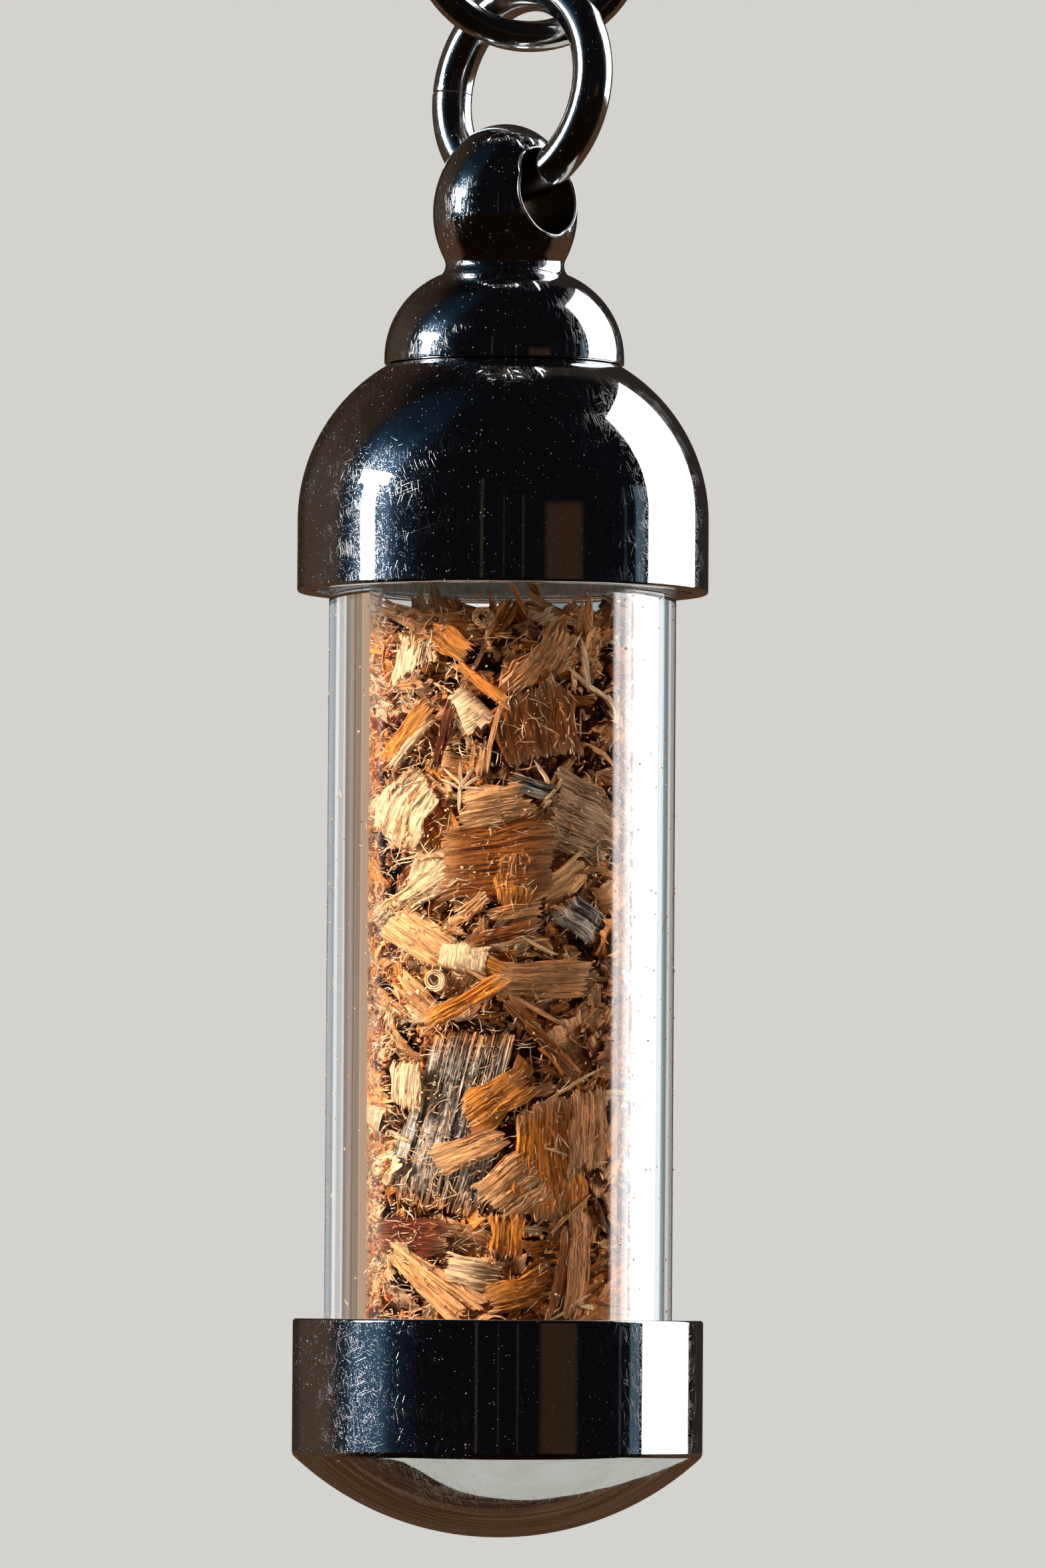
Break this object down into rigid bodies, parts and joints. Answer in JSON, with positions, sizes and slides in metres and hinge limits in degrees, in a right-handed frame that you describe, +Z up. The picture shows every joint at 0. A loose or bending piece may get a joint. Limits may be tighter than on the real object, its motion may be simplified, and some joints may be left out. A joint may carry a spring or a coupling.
{
  "type": "glass keepsake vial",
  "caption": "Clear glass tube with domed chrome screw cap and chrome end cap, full of wood shavings, hung by an eye, jump ring and short chain.",
  "frame": {"origin": "the point inside the top chain link where a hook carries the vial", "axes": "+Z up along the vial, -Y the side seen from the front, +X to the right"},
  "size_m": [0.0118, 0.0118, 0.0644],
  "materials": {
    "cap_chrome": "bright plated, lightly scratched",
    "wire_chrome": "bright plated wire",
    "tube_glass": "clear, polished",
    "collar_metal": "machined thread",
    "nut_brass": "machined",
    "seal_rubber": "translucent silicone",
    "clear_adhesive": "clear cured adhesive",
    "shavings_wood": "loose shavings, chips and dust",
    "weathered_wood": "weathered, open grain",
    "amber_wood": "clean cut, open grain"
  },
  "bodies": {
    "chain_end": {"chain_link_3": "wire_chrome"},
    "link_2": {"chain_link_2": "wire_chrome"},
    "link_1": {"chain_link_1": "wire_chrome"},
    "ring": {"jump_ring": "wire_chrome"},
    "cap": {"top_cap": "cap_chrome", "shoulder_dome": "cap_chrome", "eye_finial": "cap_chrome", "finial_nut": "nut_brass"},
    "seal": {"mouth_gasket": "seal_rubber"},
    "vial": {"glass_tube": "tube_glass", "neck_collar": "collar_metal", "collar_bond": "clear_adhesive", "bottom_cap": "cap_chrome", "bottom_bond": "clear_adhesive", "seat_pad": "seal_rubber", "wood_shavings": "shavings_wood", "grey_chip_large": "weathered_wood", "grey_chip_upper": "weathered_wood", "grey_chip_middle": "weathered_wood", "amber_chip_square": "amber_wood", "amber_sheet": "amber_wood", "orange_chip": "amber_wood"}
  },
  "joints": [
    {"name": "link_2_swing", "type": "hinge", "parent": "chain_end", "child": "link_2", "pos_m": [0, 0, -0.00715], "axis": [0.9781, 0.2079, 0], "range_deg": [-45, 45]},
    {"name": "link_1_swing", "type": "hinge", "parent": "link_2", "child": "link_1", "pos_m": [0.00035, 0, -0.0137], "axis": [-0.2079, 0.9781, 0], "range_deg": [-45, 45]},
    {"name": "ring_swing", "type": "hinge", "parent": "link_1", "child": "ring", "pos_m": [0.00059, 0.00016, -0.02025], "axis": [0.9781, 0.2079, 0], "range_deg": [-45, 45]},
    {"name": "vial_swing", "type": "hinge", "parent": "ring", "child": "cap", "pos_m": [0.00021, -0.00021, -0.02459], "axis": [0.7071, -0.7071, 0], "range_deg": [-45, 45]},
    {"name": "vial_turn", "type": "hinge", "parent": "cap", "child": "seal", "pos_m": [0, 0, -0.0338], "axis": [0, 0, -1], "range_deg": [0, 1170]},
    {"name": "vial_draw", "type": "slide", "parent": "seal", "child": "vial", "axis": [0, 0, -1], "range_m": [0, 0.0026]}
  ],
  "couplings": [
    {"joint": "vial_draw", "follows": "vial_turn", "m_per_rad": 0.00012732}
  ]
}
